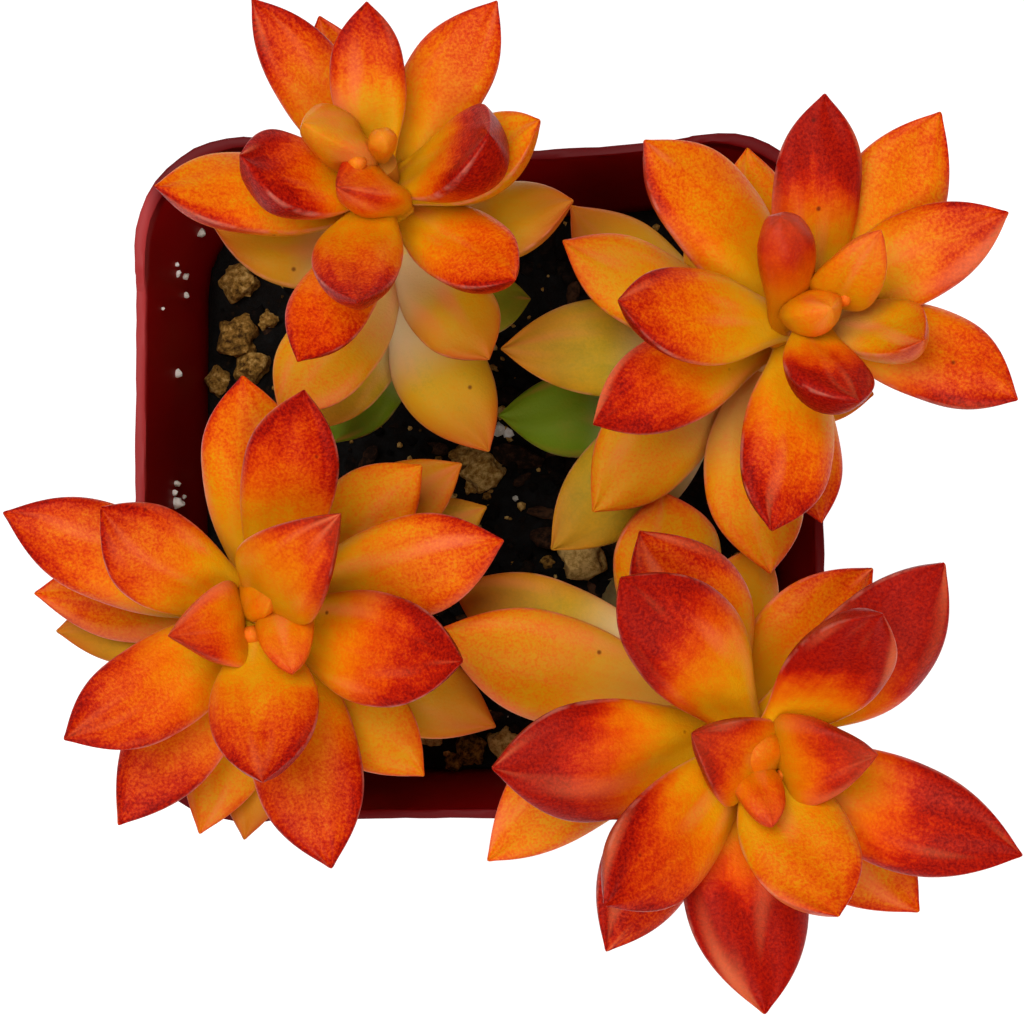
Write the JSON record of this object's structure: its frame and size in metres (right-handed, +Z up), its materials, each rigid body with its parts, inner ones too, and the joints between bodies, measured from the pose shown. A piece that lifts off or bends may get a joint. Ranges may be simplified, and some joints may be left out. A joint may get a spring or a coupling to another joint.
{
  "type": "potted succulent",
  "caption": "Small square tapered plastic nursery pot of gritty soil with branching succulent stems, each ending in a rosette of plump pointed orange and red leaves.",
  "frame": {"origin": "middle of the pot's flat underside, at table height", "axes": "+Z up along the pot's middle; +X to the right and +Y away in the picture, along the pot's square sides"},
  "size_m": [0.0765, 0.0753, 0.0876],
  "materials": {
    "pot_plastic": "moulded dark red polypropylene, slightly glossy",
    "potting_mix": "matt dark peat and bark with tan pumice grains",
    "leaf": "waxy plump leaves, golden at their roots and red at their margins and tips"
  },
  "bodies": {
    "root": {"pot": "pot_plastic", "potting_soil": "potting_mix", "sedum_upper_left": "leaf", "sedum_upper_right": "leaf", "sedum_lower_left": "leaf", "sedum_lower_right": "leaf"}
  },
  "joints": []
}
